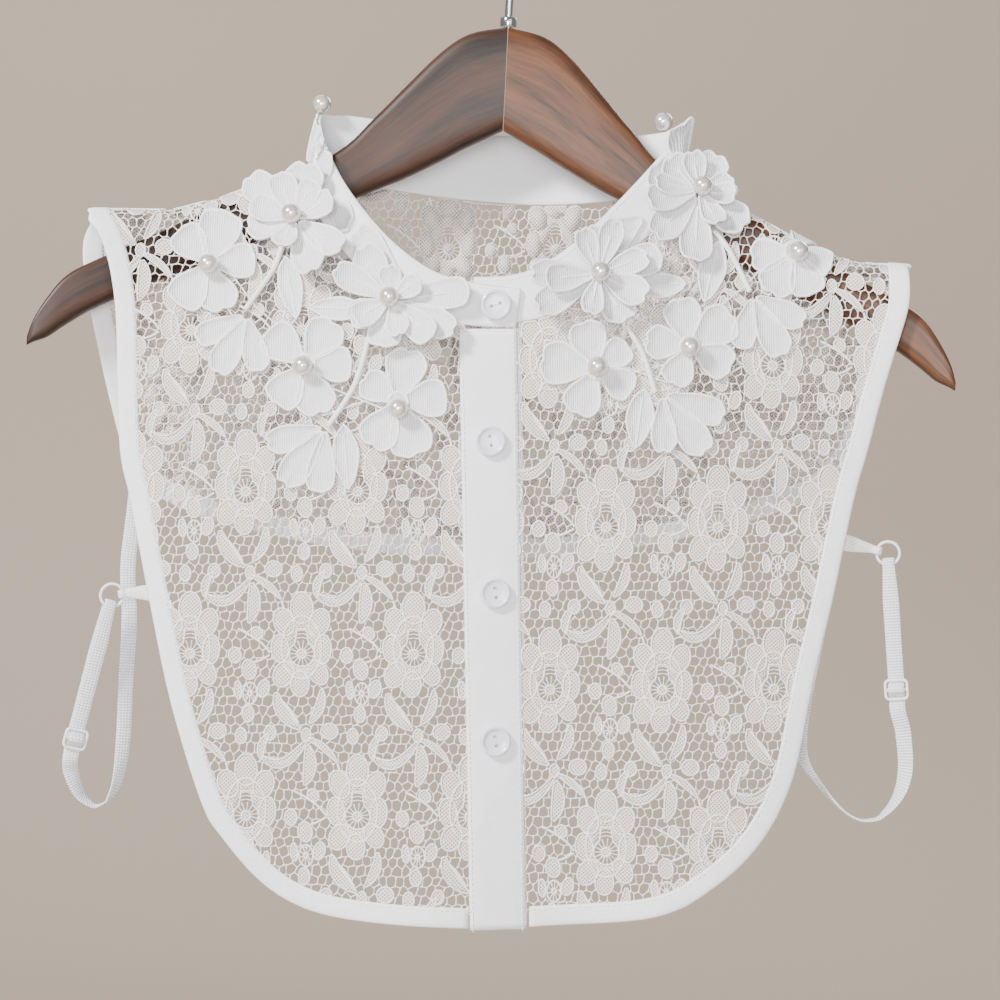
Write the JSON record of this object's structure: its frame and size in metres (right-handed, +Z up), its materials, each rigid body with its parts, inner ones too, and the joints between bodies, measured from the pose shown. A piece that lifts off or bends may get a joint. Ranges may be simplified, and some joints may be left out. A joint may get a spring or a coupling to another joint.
{
  "type": "lace collar on a clothes hanger",
  "caption": "Detachable lace collar with a stand neck, buttoned front, bound edges, flower applique and elastic side straps, hung on a shaped wooden hanger.",
  "frame": {"origin": "where the hanger hangs: the point under the top of the hook's bow", "axes": "+X to the right as the front is seen, -Y towards the viewer of the front, +Z up"},
  "size_m": [0.3917, 0.0797, 0.4566],
  "materials": {
    "wood": "satin varnish",
    "chrome": "polished",
    "lace": "warp-knitted floral lace",
    "cotton": "plain woven cotton",
    "guipure": "heavy embroidered lace",
    "pearl": "pearlised",
    "button": "pearlised",
    "plastic": "translucent white",
    "elastic": "ribbed elastic",
    "satin": "satin ribbon"
  },
  "bodies": {
    "root": {"hanger_arm_left": "wood", "hanger_arm_right": "wood", "hanger_ferrule": "chrome", "hanger_hook": "chrome", "front_left_lace": "lace", "front_right_lace": "lace", "back_lace": "lace", "binding_left": "cotton", "binding_right": "cotton", "binding_back_left": "cotton", "binding_back_right": "cotton", "binding_back_hem": "cotton", "placket_over": "cotton", "placket_under": "cotton", "collar_stand": "cotton", "button_1": "button", "button_2": "button", "button_3": "button", "button_4": "button", "applique_left": "guipure", "applique_right": "guipure", "applique_back_left": "guipure", "applique_back_right": "guipure", "flower_left_neck_lower": "guipure", "flower_left_neck_upper": "guipure", "flower_left_front_lower": "guipure", "flower_left_front_upper": "guipure", "flower_right_neck_lower": "guipure", "flower_right_neck_upper": "guipure", "flower_right_front_lower": "guipure", "flower_right_front_upper": "guipure", "pearl_left_shoulder": "pearl", "pearl_left_middle": "pearl", "pearl_left_low": "pearl", "pearl_left_neck": "pearl", "pearl_left_front": "pearl", "pearl_left_crest": "pearl", "pearl_right_shoulder": "pearl", "pearl_right_middle": "pearl", "pearl_right_low": "pearl", "pearl_right_neck": "pearl", "pearl_right_front": "pearl", "pearl_right_crest": "pearl", "ring_left": "plastic", "slider_left": "plastic", "strap_left": "elastic", "strap_return_left": "elastic", "strap_tab_left": "satin", "ring_right": "plastic", "slider_right": "plastic", "strap_right": "elastic", "strap_return_right": "elastic", "strap_tab_right": "satin"}
  },
  "joints": []
}
